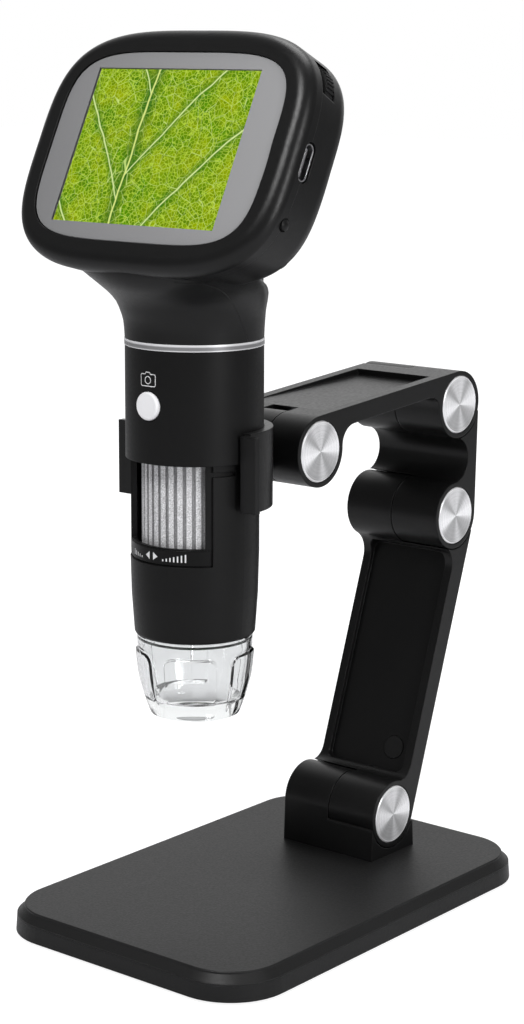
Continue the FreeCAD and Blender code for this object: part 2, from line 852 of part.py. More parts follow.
neck_rise = [0.0, 2.2, 3.9, 5.2, 6.3, 7.5, 8.6, 9.8, 11.0, 12.2, 13.3, 14.5, 15.7, 16.7, 17.6]
neck_side = [16.5, 16.65, 16.85, 17.06, 17.3, 17.7, 18.2, 18.92, 19.8, 20.81, 21.9, 23.37, 24.9, 26.04, 27.0]
neck_shift = [0.0, 0.03, 0.1, 0.28, 0.5, 0.68, 0.9, 1.34, 2.0, 2.9, 4.0, 5.66, 7.5, 8.85, 10.0]
neck_front = [16.5, 16.54, 16.6, 16.78, 17.0, 17.24, 17.5, 17.94, 18.4, 18.89, 18.9, 18.02, 16.6, 15.32, 14.2]
neck_back = [16.5, 16.53, 16.6, 16.8, 17.0, 17.14, 17.2, 17.15, 17.0, 16.27, 15.0, 12.64, 9.5, 6.74, 4.0]


def neck_section(side, shift, front, back, z):
    """Egg-shaped ring about the tube, moved forward by a shift."""
    points = []
    for i in range(32):
        t = 2 * math.pi * i / 32
        reach = front if math.sin(t) < 0 else back
        points.append(vec(side * math.cos(t), tube_y - shift + reach * math.sin(t), z))
    curve = Part.BSplineCurve()
    curve.interpolate(Points=points, PeriodicFlag=True)
    return Part.Wire(curve.toShape())


def neck_flare():
    """Trumpet that opens from the tube to the underside of the head."""
    wires = []
    for rise, side, shift, front, back in zip(neck_rise, neck_side, neck_shift, neck_front, neck_back):
        wires.append(neck_section(side, shift, front, back, ring_top + rise))
    return Part.makeLoft(wires, True, True)


spine_straight = 14.0
spine_bend = 24.6
spine_turn = 70.0


def spine(radius, low):
    """Back of the neck, a round column that bends forward into the back of the head."""
    high = ring_top + spine_straight
    pivot = tube_y + tube_radius - spine_bend
    disc = Part.Face(Part.Wire(Part.makeCircle(radius, vec(0, tube_y, high))))
    front = Part.makePlane(4 * radius, 4 * radius, vec(-2 * radius, pivot - 4 * radius, high))
    bend = disc.cut(front).revolve(vec(0, pivot, high), vec(1, 0, 0), spine_turn)
    return rod_z(0, tube_y, radius, low, high).fuse(bend)


def head_cavity():
    ahead, rear = head_solid(head_wall, -head_wall - 0.4, -head_thickness + head_wall)
    return to_head(ahead.fuse(rear))


def split_region():
    """Everything in front of the seam between the two shells."""
    seam = head_point(-head_half_height, -split_depth)
    top = head_point(head_half_height + 15, -split_depth)
    start = vec(-beyond, tube_y, ring_top)
    bend = vec(-beyond, tube_y - 6.8, ring_top + 9.4)
    knee = vec(-beyond, seam[0], seam[1])
    high = vec(-beyond, top[0], top[1])
    edges = [
        Part.makeLine(vec(-beyond, tube_y, ring_top - 10), start),
        Part.Arc(start, bend, knee).toShape(),
        Part.makeLine(knee, high),
        Part.makeLine(high, vec(-beyond, -beyond, top[1])),
        Part.makeLine(vec(-beyond, -beyond, top[1]), vec(-beyond, -beyond, ring_top - 10)),
        Part.makeLine(vec(-beyond, -beyond, ring_top - 10), vec(-beyond, tube_y, ring_top - 10)),
    ]
    return Part.Face(Part.Wire(edges)).extrude(vec(2 * beyond, 0, 0))


def side_openings():
    """Port slot, key hole and dial slot through the right wall of the head."""
    half = port_width / 2 - port_height / 2
    r = port_height / 2 + 0.35
    z = -port_depth
    slot = block(head_half_width - 5, head_half_width + 2, -half, half, z - r, z + r)
    for y in (-half, half):
        slot = slot.fuse(rod_x(y, z, r, head_half_width - 5, head_half_width + 2))
    key = rod_x(key_y, z, key_radius + 0.2, head_half_width - 6, head_half_width + 2)
    dial = rod_z(dial_x, dial_y, dial_radius + 0.6, -dial_depth - dial_thickness - 0.4, -split_depth)
    return to_head(Part.makeCompound([slot.removeSplitter(), key, dial]))


outer_shape = []


def head_outer():
    if not outer_shape:
        outer_shape.append(join([to_head(head_block()), neck_flare(), spine(tube_radius - 0.25, ring_top)]))
    return outer_shape[0]


def neck_hollow():
    return rod_z(0, tube_y, neck_inner - 0.3, ring_top - 1, ring_top + 20)


def front_shell():
    body = head_outer().common(split_region())
    body = body.cut(head_cavity()).cut(neck_hollow()).cut(spine(neck_inner, ring_top - 1))
    seat = squircle_plate(
        window_half_width + window_gap, window_half_height + window_gap, window_power,
        -window_thickness - window_sink, 1,
    )
    play = 2 * lcd_play
    glass_hole = rounded_plate(lcd_width + play, lcd_height + play, lcd_corner + lcd_play, -8, 1)
    glass_hole.translate(vec(lcd_shift, 0, 0))
    body = body.cut(to_head(seat)).cut(to_head(glass_hole))
    for x, y in head_screw_spots:
        body = body.fuse(to_head(rod_z(x, y, boss_radius, -split_depth, -head_wall)))
        body = body.cut(to_head(rod_z(x, y, screw_radius + 0.02, -split_depth - 1, -head_wall - 0.6)))
    return body.cut(side_openings())


def rear_shell():
    body = head_outer().cut(split_region())
    body = body.cut(head_cavity()).cut(neck_hollow()).cut(spine(neck_inner, ring_top - 1))
    deep = -head_thickness
    for x, y in head_screw_spots:
        body = body.fuse(to_head(rod_z(x, y, boss_radius + 0.6, deep + 1.4, -split_depth)))
        body = body.cut(to_head(rod_z(x, y, screw_radius + 0.25, deep - 5, 0)))
        body = body.cut(to_head(rod_z(x, y, screw_radius + 1.1, deep - 5, deep + 6)))
    body = body.cut(side_openings())
    body = body.fuse(to_head(rod_z(dial_x, dial_y, 1.5, deep + 1.4, 0.8 - dial_depth)))
    shoulder = rod_z(dial_x, dial_y, 2.6, deep + 1.4, -dial_depth - dial_thickness - 0.15)
    return body.fuse(to_head(shoulder))


def head_screws():
    screws = []
    for x, y in head_screw_spots:
        z = -head_thickness + 4.0
        screws.append(to_head(pan_screw(x, y, z, screw_radius + 1.0, 2.0, screw_radius, 12.4)))
    return Part.makeCompound(screws)


def screen_window():
    z1 = -window_sink
    z0 = z1 - window_thickness
    return to_head(squircle_plate(window_half_width, window_half_height, window_power, z0, z1))


def lcd_panel():
    z1 = -window_sink - window_thickness - 0.05
    panel = rounded_plate(lcd_width, lcd_height, lcd_corner, z1 - lcd_thickness, z1)
    panel.translate(vec(lcd_shift, 0, 0))
    return to_head(panel)


def main_board():
    top = -board_depth
    low = top - board_thickness
    w = board_width / 2
    h = board_height / 2
    pieces = [
        block(-w, w, -h, h, low, top),
        block(w - 1, head_half_width - 3.0, -7.0, 7.0, low, top),
        block(w - 1, head_half_width - 5.2, -18.0, -6.0, low, top),
        block(w - 1.6, w + 2.9, key_y - 2.2, key_y + 2.2, top - 0.1, top + 2.6),
        block(-14, 4, -8, 8, low - 1.2, low + 0.1),
        block(10, 22, -4, 8, low - 0.9, low + 0.1),
        block(-27, -19, -14, -4, low - 0.9, low + 0.1),
        block(-6, 12, -18, -13, low - 1.0, low + 0.1),
    ]
    body = fuse_all(pieces)
    for x, y in head_screw_spots:
        body = body.cut(rod_z(x, y, boss_radius + 0.9, low - 5, top + 5))
    body = body.cut(rod_z(dial_x, dial_y, dial_radius + 0.8, low - 5, top + 5))
    return to_head(body)


def battery():
    w = battery_width / 2
    h = battery_height / 2
    body = block(-w, w, -h + 4, h + 4, -battery_depth - battery_thickness, -battery_depth)
    upright = [e for e in body.Edges if abs(e.tangentAt(e.FirstParameter).z) > 0.99]
    return to_head(body.makeFillet(2.5, upright))


def usb_port():
    half = port_width / 2 - port_height / 2
    r = port_height / 2
    x1 = head_half_width - 0.5
    x0 = x1 - port_length

    def stadium(radius, a, b):
        body = block(a, b, -half, half, -port_depth - radius, -port_depth + radius)
        for y in (-half, half):
            body = body.fuse(rod_x(y, -port_depth, radius, a, b))
        return body.removeSplitter()

    shell = stadium(r, x0, x1).cut(stadium(r - 0.3, x0 + 0.6, x1 + 1))
    tongue = block(x0 + 0.3, x1 - 0.8, -3.3, 3.3, -port_depth - 0.35, -port_depth + 0.35)
    return to_head(shell.fuse(tongue).removeSplitter())


def brightness_dial():
    z1 = -dial_depth
    z0 = z1 - dial_thickness
    body = rod_z(dial_x, dial_y, dial_radius, z0, z1)
    body = body.cut(rod_z(dial_x, dial_y, 1.5 + running_gap, z0 - 1, z1 + 1))
    width = math.pi * dial_radius / dial_teeth
    cuts = []
    for i in range(dial_teeth):
        notch = block(dial_radius - 0.35, dial_radius + 1, -width / 2, width / 2, z0 - 1, z1 + 1)
        notch.rotate(vec(0, 0, 0), vec(0, 0, 1), i * 360.0 / dial_teeth)
        notch.translate(vec(dial_x, dial_y, 0))
        cuts.append(notch)
    return to_head(body.cut(Part.makeCompound(cuts)))


def side_key():
    z = -port_depth
    tip = head_half_width - 0.5
    dome = Part.makeSphere(2 * key_radius, vec(tip - 2 * key_radius, key_y, z))
    stem = rod_x(key_y, z, key_radius, tip - 4.2, tip - 0.3)
    stem = stem.fuse(rod_x(key_y, z, key_radius, tip - 1.0, tip + 1).common(dome))
    flange = rod_x(key_y, z, key_radius + 0.7, tip - 4.2, tip - 3.4)
    return to_head(stem.fuse(flange).removeSplitter())


cable_thickness = 0.3
cable_half = 5.0
cable_run = 9.4
cable_slant = 1.6


def ribbon_cable():
    """Flat film up the tube and forward, past the lip of the head's cavity, to the main board."""
    z0 = collar_top + board_thickness
    y = tube_y - 2.0
    end = head_point(-12.0, -battery_depth + 0.5)
    knee = (end[0] + cable_slant, end[1] - cable_run)
    front = [(y, z0), (y, ring_top), (knee[0] - 0.1, knee[1]), (end[0] - 0.1, end[1])]
    back = [(py + cable_thickness, pz) for py, pz in reversed(front)]
    return prism_x(front + back, -cable_half, cable_half)


nodes = {
    "base_tray": base_tray,
    "base_cover": base_cover,
    "base_weight": base_weight,
    "base_feet": base_feet,
    "base_screws": base_screws,
    "post": post,
    "post_screws": post_screws,
    "post_cap": lambda: hinge_cap(h4, -1),
    "lower_arm": lower_arm,
    "lower_arm_plug": lower_arm_plug,
    "lower_arm_caps": lambda: Part.makeCompound([hinge_cap(h4, 1), hinge_cap(h3, -1)]),
    "middle_link": middle_link,
    "middle_link_caps": lambda: Part.makeCompound([hinge_cap(h3, 1), hinge_cap(h2, -1)]),
    "upper_arm": upper_arm,
    "upper_arm_caps": lambda: Part.makeCompound([hinge_cap(h2, 1), hinge_cap(h1, 1), hinge_cap(h1, -1)]),
    "clamp_bracket": clamp_bracket,
    "trim_ring": trim_ring,
    "upper_tube": upper_tube,
    "shutter_button": shutter_button,
    "shutter_board": shutter_board,
    "sensor_board": sensor_board,
    "lower_sleeve": lower_sleeve,
    "scale_strip": scale_strip,
    "focus_wheel": focus_wheel,
    "lens_barrel": lens_barrel,
    "lens_glass": lens_glass,
    "led_board": led_board,
    "led_lamps": led_lamps,
    "clear_cap": clear_cap,
    "front_shell": front_shell,
    "rear_shell": rear_shell,
    "head_screws": head_screws,
    "screen_window": screen_window,
    "lcd_panel": lcd_panel,
    "main_board": main_board,
    "battery": battery,
    "usb_port": usb_port,
    "brightness_dial": brightness_dial,
    "side_key": side_key,
    "ribbon_cable": ribbon_cable,
}
for place, hinge in (("post", h4), ("lower", h3), ("middle", h2), ("upper", h1)):
    nodes[place + "_pin"] = lambda hinge=hinge: hinge_pin(hinge)
    nodes[place + "_nut"] = lambda hinge=hinge: hinge_nut(hinge)
    nodes[place + "_washer"] = lambda hinge=hinge: hinge_washer(hinge)

os.makedirs("parts", exist_ok=True)
for name, make in nodes.items():
    shape = make()
    shape.exportStep("parts/" + name + ".step")
    box = shape.BoundBox
    print(name, len(shape.Solids), shape.isValid(), round(shape.Volume, 1), round(box.YMin, 1), round(box.ZMax, 1))
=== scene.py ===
import bpy
import math
from mathutils import Matrix, Vector


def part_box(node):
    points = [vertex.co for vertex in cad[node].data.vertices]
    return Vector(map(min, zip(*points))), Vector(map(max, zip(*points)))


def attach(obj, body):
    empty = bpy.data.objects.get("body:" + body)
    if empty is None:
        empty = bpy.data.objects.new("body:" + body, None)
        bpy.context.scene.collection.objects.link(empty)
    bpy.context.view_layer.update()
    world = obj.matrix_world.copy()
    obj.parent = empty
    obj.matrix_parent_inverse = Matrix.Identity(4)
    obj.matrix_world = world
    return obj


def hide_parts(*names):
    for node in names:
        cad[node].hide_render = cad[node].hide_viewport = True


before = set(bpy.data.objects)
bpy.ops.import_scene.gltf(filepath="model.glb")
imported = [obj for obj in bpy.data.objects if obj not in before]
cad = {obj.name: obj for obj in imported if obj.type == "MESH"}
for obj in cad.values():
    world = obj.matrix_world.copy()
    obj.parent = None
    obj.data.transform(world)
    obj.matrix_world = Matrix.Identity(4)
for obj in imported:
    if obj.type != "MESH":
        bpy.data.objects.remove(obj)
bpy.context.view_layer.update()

MM = 0.001
FULL_TURN = 2 * math.pi
WHITE = (1, 1, 1, 1)


# Places on the stand, read from the CAD nodes

def middle(node):
    low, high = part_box(node)
    return (low + high) / 2


def hinge_centre(node):
    spot = middle(node)
    return Vector((0, spot.y, spot.z))


post_hinge = hinge_centre("post_pin")
lower_hinge = hinge_centre("lower_pin")
middle_hinge = hinge_centre("middle_pin")
upper_hinge = hinge_centre("upper_pin")
tube = middle("trim_ring")
tube_radius = 16.5 * MM
disc_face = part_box("post_cap")[0].x

head_tilt = math.radians(26.3)
window_to_face = 0.8 * MM
head_out = Vector((0, -math.cos(head_tilt), math.sin(head_tilt)))
head_up = Vector((0, math.sin(head_tilt), math.cos(head_tilt)))
head_centre = middle("screen_window") + head_out * window_to_face
picture_half = (24.75 * MM, 19.4 * MM)
picture_shift = -0.9 * MM
glow_spare = 1.2 * MM


# Material helpers

def add(tree, kind, inputs=None, **settings):
    made = tree.nodes.new("ShaderNode" + kind)
    for name, value in settings.items():
        setattr(made, name, value)
    for name, value in (inputs or {}).items():
        if isinstance(value, bpy.types.NodeSocket):
            tree.links.new(value, made.inputs[name])
        else:
            made.inputs[name].default_value = value
    return made


def maths(tree, operation, *values):
    made = tree.nodes.new("ShaderNodeMath")
    made.operation = operation
    for i, value in enumerate(values):
        if isinstance(value, bpy.types.NodeSocket):
            tree.links.new(value, made.inputs[i])
        else:
            made.inputs[i].default_value = value
    return made.outputs[0]


def blend_colours(tree, factor, first, second):
    made = tree.nodes.new("ShaderNodeMix")
    made.data_type = "RGBA"
    for socket, value in ((made.inputs[0], factor), (made.inputs[6], first), (made.inputs[7], second)):
        if isinstance(value, bpy.types.NodeSocket):
            tree.links.new(value, socket)
        else:
            socket.default_value = value
    return made.outputs[2]


def ranged(tree, value, low, high, from_low=0.0, from_high=1.0):
    made = add(tree, "MapRange", {"Value": value, "From Min": from_low, "From Max": from_high})
    made.inputs["To Min"].default_value = low
    made.inputs["To Max"].default_value = high
    return made.outputs[0]


def blank(name):
    made = bpy.data.materials.new(name)
    made.use_nodes = True
    made.node_tree.nodes.clear()
    return made, made.node_tree


def close(tree, shader):
    out = tree.nodes.new("ShaderNodeOutputMaterial")
    tree.links.new(shader, out.inputs["Surface"])


def grey(level):
    return (level, level, level * 1.02, 1)


def surface(name, colour, rough, metal=0.0, grain=900.0, depth=0.00003, wear=0.25, edge=0.00025,
            **more):
    """Material with slow colour drift, uneven roughness, fine grain and softened edges."""
    made, tree = blank(name)
    spot = add(tree, "TexCoord").outputs["Object"]
    broad = add(tree, "TexNoise", {"Vector": spot, "Scale": 38.0, "Detail": 3.0}).outputs["Fac"]
    fine = add(tree, "TexNoise", {"Vector": spot, "Scale": grain, "Detail": 4.0}).outputs["Fac"]
    dark = tuple(c * (1 - wear) for c in colour[:3]) + (1,)
    light = tuple(min(1, c * (1 + wear)) for c in colour[:3]) + (1,)
    tone = blend_colours(tree, broad, dark, light)
    speck = ranged(tree, fine, rough - 0.05, rough + 0.05, 0.3, 0.7)
    rounded = add(tree, "Bevel", {"Radius": edge}, samples=4).outputs["Normal"]
    bump = add(tree, "Bump", {"Height": fine, "Distance": depth, "Strength": 0.6, "Normal": rounded})
    settings = {"Base Color": tone, "Roughness": speck, "Metallic": metal, "Normal": bump.outputs[0]}
    settings.update(more)
    close(tree, add(tree, "BsdfPrincipled", settings).outputs[0])
    return made


dull = {"Specular IOR Level": 0.22}
duller = {"Specular IOR Level": 0.15}
shell_black = surface("shell_black", grey(0.0055), 0.34, grain=1500.0, depth=0.00002, **dull)
arm_black = surface("arm_black", grey(0.006), 0.34, grain=1200.0, depth=0.00001, edge=0.0004, **dull)
base_black = surface("base_black", grey(0.0075), 0.46, grain=1700.0, depth=0.00005, **dull)
tube_black = surface("tube_black", grey(0.0045), 0.40, grain=1600.0, depth=0.00002, **duller)
rubber = surface("dark_rubber", grey(0.008), 0.62, grain=900.0, depth=0.00008, **dull)
steel = surface("steel", grey(0.48), 0.3, metal=1.0, grain=700.0)
white_plastic = surface("white_plastic", grey(0.74), 0.4, grain=800.0, wear=0.03, edge=0.0004)
circuit = surface("circuit_green", (0.02, 0.11, 0.04, 1), 0.4, grain=400.0)
cell_foil = surface("cell_foil", grey(0.4), 0.35, metal=0.7, grain=300.0)
lamp_resin = surface("lamp_resin", (0.85, 0.8, 0.5, 1), 0.2)
film = surface("cable_film", (0.5, 0.28, 0.08, 1), 0.4)
ink = surface("white_ink", grey(0.62), 0.5, grain=600.0, wear=0.08)
strip_black = surface("strip_black", grey(0.003), 0.34, grain=1400.0, wear=0.1, **duller)


def ring_metal():
    """Bright trim: a smooth band, darker along its middle with painted shade that stands in for a
    V-shaped cut.
    """
    shade_line_height = tube.z - 0.15 * MM
    shade_line_half, shade_line_end = 0.3 * MM, 0.6 * MM
    made, tree = blank("ring_metal")
    spot = add(tree, "TexCoord").outputs["Object"]
    height = add(tree, "SeparateXYZ", {"Vector": spot}).outputs["Z"]
    off = maths(tree, "ABSOLUTE", maths(tree, "SUBTRACT", height, shade_line_height))
    cloud = add(tree, "TexNoise", {"Vector": spot, "Scale": 60.0, "Detail": 2.0}).outputs["Fac"]
    # Painted shade: a dark band round the middle of the ring.
    painted_middle_shade = ranged(tree, off, 0.26, 0.95, shade_line_half, shade_line_end)
    tone = blend_colours(tree, painted_middle_shade, grey(0.0), grey(1.0))
    tone = blend_colours(tree, maths(tree, "MULTIPLY", cloud, 0.1), tone, grey(0.5))
    rough = ranged(tree, cloud, 0.2, 0.3)
    settings = {"Base Color": tone, "Roughness": rough, "Metallic": 0.6}
    close(tree, add(tree, "BsdfPrincipled", settings).outputs[0])
    return made


def wheel_silver():
    """Metallic paint with a coarse sparkle, with painted shade making it darker down in the grooves."""
    groove_floor, rib_top = 12.25 * MM, 12.6 * MM
    made, tree = blank("wheel_silver")
    spot = add(tree, "TexCoord").outputs["Object"]
    sparkle = add(tree, "TexNoise", {"Vector": spot, "Scale": 3800.0, "Detail": 2.0}).outputs["Fac"]
    away = add(tree, "VectorMath", {0: spot, 1: (0, tube.y, 0)}, operation="SUBTRACT").outputs[0]
    flat = add(tree, "VectorMath", {0: away, 1: (1, 1, 0)}, operation="MULTIPLY").outputs[0]
    reach = add(tree, "VectorMath", {0: flat}, operation="LENGTH").outputs["Value"]
    # Painted shade: darker towards the floor between the ribs.
    painted_groove_shade = ranged(tree, reach, 0.35, 1.0, groove_floor, rib_top)
    fleck = blend_colours(tree, ranged(tree, sparkle, 0, 1, 0.35, 0.65), grey(0.42), grey(0.82))
    tone = blend_colours(tree, painted_groove_shade, grey(0.06), fleck)
    bump = add(tree, "Bump", {"Height": sparkle, "Distance": 0.00006, "Strength": 0.7}).outputs[0]
    settings = {"Base Color": tone, "Roughness": 0.42, "Metallic": 0.4, "Normal": bump}
    close(tree, add(tree, "BsdfPrincipled", settings).outputs[0])
    return made


def turned_wave(tree, angle, times, size):
    return maths(tree, "MULTIPLY", maths(tree, "COSINE", maths(tree, "MULTIPLY", angle, times)), size)


def spun_metal():
    """Bare metal turned on a lathe: fine rings, and painted fans of light and dark by the angle round
    the centre, standing in for the reflections such rings throw.
    """
    face_end, rim_start = 7.1 * MM, 7.2 * MM
    made, tree = blank("spun_metal")
    spot = add(tree, "TexCoord").outputs["Object"]
    flat = add(tree, "VectorMath", {0: spot, 1: (0, 1, 1)}, operation="MULTIPLY").outputs[0]
    reach = add(tree, "VectorMath", {0: flat}, operation="LENGTH").outputs["Value"]
    parts = add(tree, "SeparateXYZ", {"Vector": spot})
    angle = maths(tree, "ARCTAN2", parts.outputs["Z"], parts.outputs["Y"])
    ring_spot = add(tree, "CombineXYZ", {"X": reach}).outputs[0]
    rings = add(tree, "TexNoise", {"Vector": ring_spot, "Scale": 9000.0, "Detail": 3.0}).outputs["Fac"]
    # Painted reflection: fans of light and dark set by the angle round the axis, fixed to the metal
    # whatever the lamps do.
    twist = maths(tree, "SUBTRACT", angle, math.radians(8))
    painted_sheen_pair = turned_wave(tree, twist, 2.0, 0.09)
    painted_sheen = maths(tree, "ADD", painted_sheen_pair, turned_wave(tree, twist, 4.0, 0.12))
    from_top = maths(tree, "SUBTRACT", angle, math.pi / 2)
    painted_sheen = maths(tree, "ADD", painted_sheen, turned_wave(tree, from_top, 1.0, 0.05))
    painted_sheen_fine = turned_wave(tree, angle, 9.0, 0.04)
    painted_sheen = maths(tree, "ADD", maths(tree, "ADD", painted_sheen, painted_sheen_fine), 0.82)
    painted_sheen = maths(tree, "POWER", maths(tree, "MAXIMUM", maths(tree, "MINIMUM", painted_sheen, 1.0), 0.2), 2.2)
    tone = blend_colours(tree, painted_sheen, grey(0.0), grey(1.0))
    tone = blend_colours(tree, ranged(tree, rings, 0.0, 0.06, 0.3, 0.7), tone, grey(0.3))
    tone = blend_colours(tree, ranged(tree, reach, 0.0, 1.0, face_end, rim_start), tone, grey(0.85))
    rough = ranged(tree, rings, 0.24, 0.34, 0.3, 0.7)
    bump = add(tree, "Bump", {"Height": rings, "Distance": 0.000004, "Strength": 0.3}).outputs[0]
    around = add(tree, "Tangent", direction_type="RADIAL", axis="X").outputs[0]
    settings = {"Base Color": tone, "Roughness": rough, "Metallic": 0.35, "Anisotropic": 0.9}
    settings.update({"Anisotropic Rotation": 0.25, "Normal": bump, "Tangent": around})
    close(tree, add(tree, "BsdfPrincipled", settings).outputs[0])
    return made


def clear_plastic(name, ior, rough):
    made, tree = blank(name)
    spot = add(tree, "TexCoord").outputs["Object"]
    wave = add(tree, "TexNoise", {"Vector": spot, "Scale": 90.0, "Detail": 1.0}).outputs["Fac"]
    bump = add(tree, "Bump", {"Height": wave, "Distance": 0.00006, "Strength": 0.2}).outputs[0]
    smear = ranged(tree, wave, rough * 0.7, rough * 1.3, 0.3, 0.7)
    settings = {"Base Color": (0.97, 0.98, 0.98, 1), "Roughness": smear, "IOR": ior}
    settings.update({"Transmission Weight": 1.0, "Normal": bump})
    close(tree, add(tree, "BsdfPrincipled", settings).outputs[0])
    return made


def face_place(tree):
    """Sockets with the place across and up the screen's face, in metres."""
    spot = add(tree, "TexCoord").outputs["Object"]
    away = add(tree, "VectorMath", {0: spot, 1: head_centre}, operation="SUBTRACT").outputs[0]
    across = add(tree, "VectorMath", {0: away, 1: (1, 0, 0)}, operation="DOT_PRODUCT").outputs["Value"]
    up = add(tree, "VectorMath", {0: away, 1: head_up}, operation="DOT_PRODUCT").outputs["Value"]
    return across, up


def picture_mask(tree, across, up, spare=0.0):
    from_middle = maths(tree, "ABSOLUTE", maths(tree, "SUBTRACT", across, picture_shift))
    beside = maths(tree, "LESS_THAN", from_middle, picture_half[0] + spare)
    below = maths(tree, "LESS_THAN", maths(tree, "ABSOLUTE", up), picture_half[1] + spare)
    return maths(tree, "MULTIPLY", beside, below)


def vein_lines(tree, along, side, spacing, slope, bow, start):
    """Distance to the nearest of evenly spaced veins that climb away from a midrib."""
    out = maths(tree, "ABSOLUTE", side)
    climb = maths(tree, "MULTIPLY", out, slope)
    bowed = maths(tree, "MULTIPLY", maths(tree, "MULTIPLY", out, out), bow)
    other = maths(tree, "MULTIPLY", maths(tree, "GREATER_THAN", side, 0.0), spacing * 0.77)
    level = maths(tree, "ADD", maths(tree, "SUBTRACT", along, climb), maths(tree, "ADD", bowed, start))
    level = maths(tree, "ADD", level, other)
    step = maths(tree, "FRACT", maths(tree, "DIVIDE", level, spacing))
    gap = maths(tree, "ABSOLUTE", maths(tree, "SUBTRACT", step, 0.5))
    return maths(tree, "MULTIPLY", gap, spacing / math.sqrt(1 + slope * slope))


def leaf_screen():
    """Lit panel showing a leaf seen close up: midrib, side veins and a fine net of cells."""
    midrib_place = (8.2 * MM, 0, 0)
    midrib_turn = (0, 0, math.radians(1.5))
    made, tree = blank("leaf_screen")
    across, up = face_place(tree)
    flat = add(tree, "CombineXYZ", {"X": across, "Y": up}).outputs[0]
    drift = add(tree, "TexNoise", {"Vector": flat, "Scale": 85.0, "Detail": 2.0}).outputs["Color"]
    centred = add(tree, "VectorMath", {0: drift, 1: (0.5, 0.5, 0.5)}, operation="SUBTRACT").outputs[0]
    push = add(tree, "VectorMath", {0: centred, "Scale": 0.002}, operation="SCALE")
    bent = add(tree, "VectorMath", {0: flat, 1: push.outputs[0]}, operation="ADD").outputs[0]
    placed = {"Vector": bent, "Location": midrib_place, "Rotation": midrib_turn}
    turned = add(tree, "Mapping", placed, vector_type="POINT")
    parts = add(tree, "SeparateXYZ", {"Vector": turned.outputs[0]})
    side, along = parts.outputs["X"], parts.outputs["Y"]
    midrib = maths(tree, "ABSOLUTE", side)
    veins = vein_lines(tree, along, side, 0.026, 1.5, 8.0, 0.0)
    cells = add(tree, "TexVoronoi", {"Vector": bent, "Scale": 1050.0}, feature="DISTANCE_TO_EDGE")
    nets = add(tree, "TexVoronoi", {"Vector": bent, "Scale": 300.0}, feature="DISTANCE_TO_EDGE")
    areas = add(tree, "TexVoronoi", {"Vector": bent, "Scale": 1050.0})
    patch = add(tree, "TexNoise", {"Vector": flat, "Scale": 130.0, "Detail": 3.0}).outputs["Fac"]
    patchy = ranged(tree, patch, 0, 1, 0.35, 0.65)
    lit = blend_colours(tree, patchy, (0.1, 0.29, 0.001, 1), (0.33, 0.43, 0.001, 1))
    random_tone = add(tree, "SeparateXYZ", {"Vector": areas.outputs["Color"]}).outputs["X"]
    cell = blend_colours(tree, ranged(tree, random_tone, 0.0, 0.5), lit, (0.03, 0.12, 0.001, 1))
    fine_line = ranged(tree, cells.outputs["Distance"], 0.85, 0.0, 0.01, 0.1)
    leaf = blend_colours(tree, fine_line, cell, (0.52, 0.7, 0.06, 1))
    shade = ranged(tree, midrib, 0.85, 0.0, 0.0, 0.0032)
    leaf = blend_colours(tree, shade, leaf, (0.01, 0.12, 0.012, 1))
    side_shade = ranged(tree, veins, 0.7, 0.0, 0.0, 0.0018)
    leaf = blend_colours(tree, side_shade, leaf, (0.014, 0.14, 0.01, 1))
    net_line = ranged(tree, nets.outputs["Distance"], 0.85, 0.0, 0.004, 0.016)
    leaf = blend_colours(tree, net_line, leaf, (0.6, 0.77, 0.22, 1))
    vein_line = ranged(tree, veins, 1.0, 0.0, 0.00012, 0.00024)
    leaf = blend_colours(tree, vein_line, leaf, (0.66, 0.8, 0.32, 1))
    rib_line = ranged(tree, midrib, 1.0, 0.0, 0.00018, 0.00032)
    leaf = blend_colours(tree, rib_line, leaf, (0.7, 0.8, 0.22, 1))
    glow = add(tree, "Emission", {"Color": leaf, "Strength": 1.0}).outputs[0]
    edge = add(tree, "BsdfPrincipled", {"Base Color": grey(0.02), "Roughness": 0.4}).outputs[0]
    mask = picture_mask(tree, across, up, glow_spare)
    close(tree, add(tree, "MixShader", {0: mask, 1: edge, 2: glow}).outputs[0])
    return made


def window_plate():
    """Printed border, its grey a painted reflection of the bright room and lighter from left to right,
    under a smooth front; clear where the picture shows.
    """
    made, tree = blank("window_plate")
    across, up = face_place(tree)
    flat = add(tree, "CombineXYZ", {"X": across, "Y": up}).outputs[0]
    cloud = add(tree, "TexNoise", {"Vector": flat, "Scale": 30.0, "Detail": 2.0}).outputs["Fac"]
    dust = add(tree, "TexNoise", {"Vector": flat, "Scale": 5200.0, "Detail": 2.0}).outputs["Fac"]
    # Painted reflection: the border's grey lightens from left to right.
    painted_reflection_sweep = ranged(tree, across, 0.0, 1.0, -0.033, 0.033)
    tone = blend_colours(tree, painted_reflection_sweep, grey(0.16), grey(0.25))
    tone = blend_colours(tree, maths(tree, "MULTIPLY", cloud, 0.3), tone, grey(0.2))
    tone = blend_colours(tree, ranged(tree, dust, 0, 0.35, 0.4, 0.7), tone, grey(0.3))
    rough = ranged(tree, cloud, 0.18, 0.26)
    settings = {"Base Color": tone, "Roughness": rough, "Specular IOR Level": 0.3}
    border = add(tree, "BsdfPrincipled", settings)
    clear = add(tree, "BsdfTransparent").outputs[0]
    gloss = add(tree, "BsdfGlossy", {"Roughness": 0.12}).outputs[0]
    pane = add(tree, "MixShader", {0: 0.012, 1: clear, 2: gloss}).outputs[0]
    mask = picture_mask(tree, across, up)
    close(tree, add(tree, "MixShader", {0: mask, 1: border.outputs[0], 2: pane}).outputs[0])
    return made


wheel_paint = wheel_silver()
disc_metal = spun_metal()
hood_clear = clear_plastic("hood_clear", 1.47, 0.03)
glass_clear = clear_plastic("glass_clear", 1.52, 0.01)


# Mesh helpers

